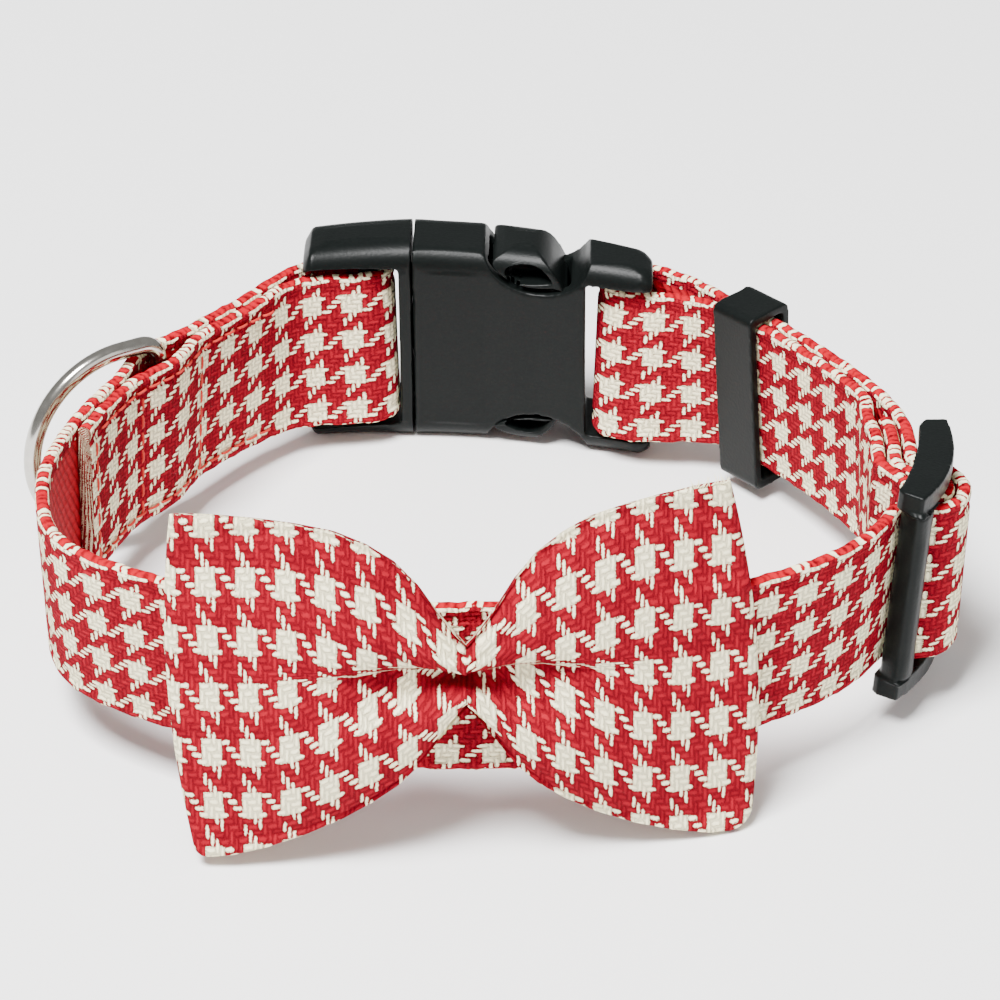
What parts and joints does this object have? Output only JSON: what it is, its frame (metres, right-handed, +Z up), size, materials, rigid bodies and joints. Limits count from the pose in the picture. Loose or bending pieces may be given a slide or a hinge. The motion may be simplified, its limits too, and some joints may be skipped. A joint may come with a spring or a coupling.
{
  "type": "pet bow tie collar",
  "caption": "Adjustable pet collar: cloth-covered strap closed by a side-release buckle, with a keeper, a slider, a D-ring for the lead and a soft bow on the front.",
  "frame": {"origin": "on the surface the collar stands on, under the middle of the collar's box", "axes": "+X to the wearer's left as seen from the front, with the bow at -Y, the buckle at +Y and +Z up; millimetres in the source, metres here"},
  "size_m": [0.1348, 0.1188, 0.0523],
  "materials": {
    "strap_cloth": "red and off-white houndstooth weave over red webbing",
    "black_plastic": "satin, finely grained",
    "nickel": "bright nickel plate",
    "bow_cloth": "red and off-white houndstooth weave",
    "elastic": "plain woven elastic"
  },
  "bodies": {
    "collar": {"collar_strap": "strap_cloth", "buckle_male": "black_plastic", "buckle_female": "black_plastic", "keeper_loop": "black_plastic", "slider": "black_plastic", "bow": "bow_cloth", "bow_loop": "elastic"},
    "ring": {"d_ring": "nickel"}
  },
  "joints": [
    {"name": "ring_swing", "type": "hinge", "parent": "collar", "child": "ring", "pos_m": [-0.04886, 0.02343, 0.01898], "axis": [0.0553, 0.0295, 0.998], "range_deg": [-140, 14]}
  ]
}
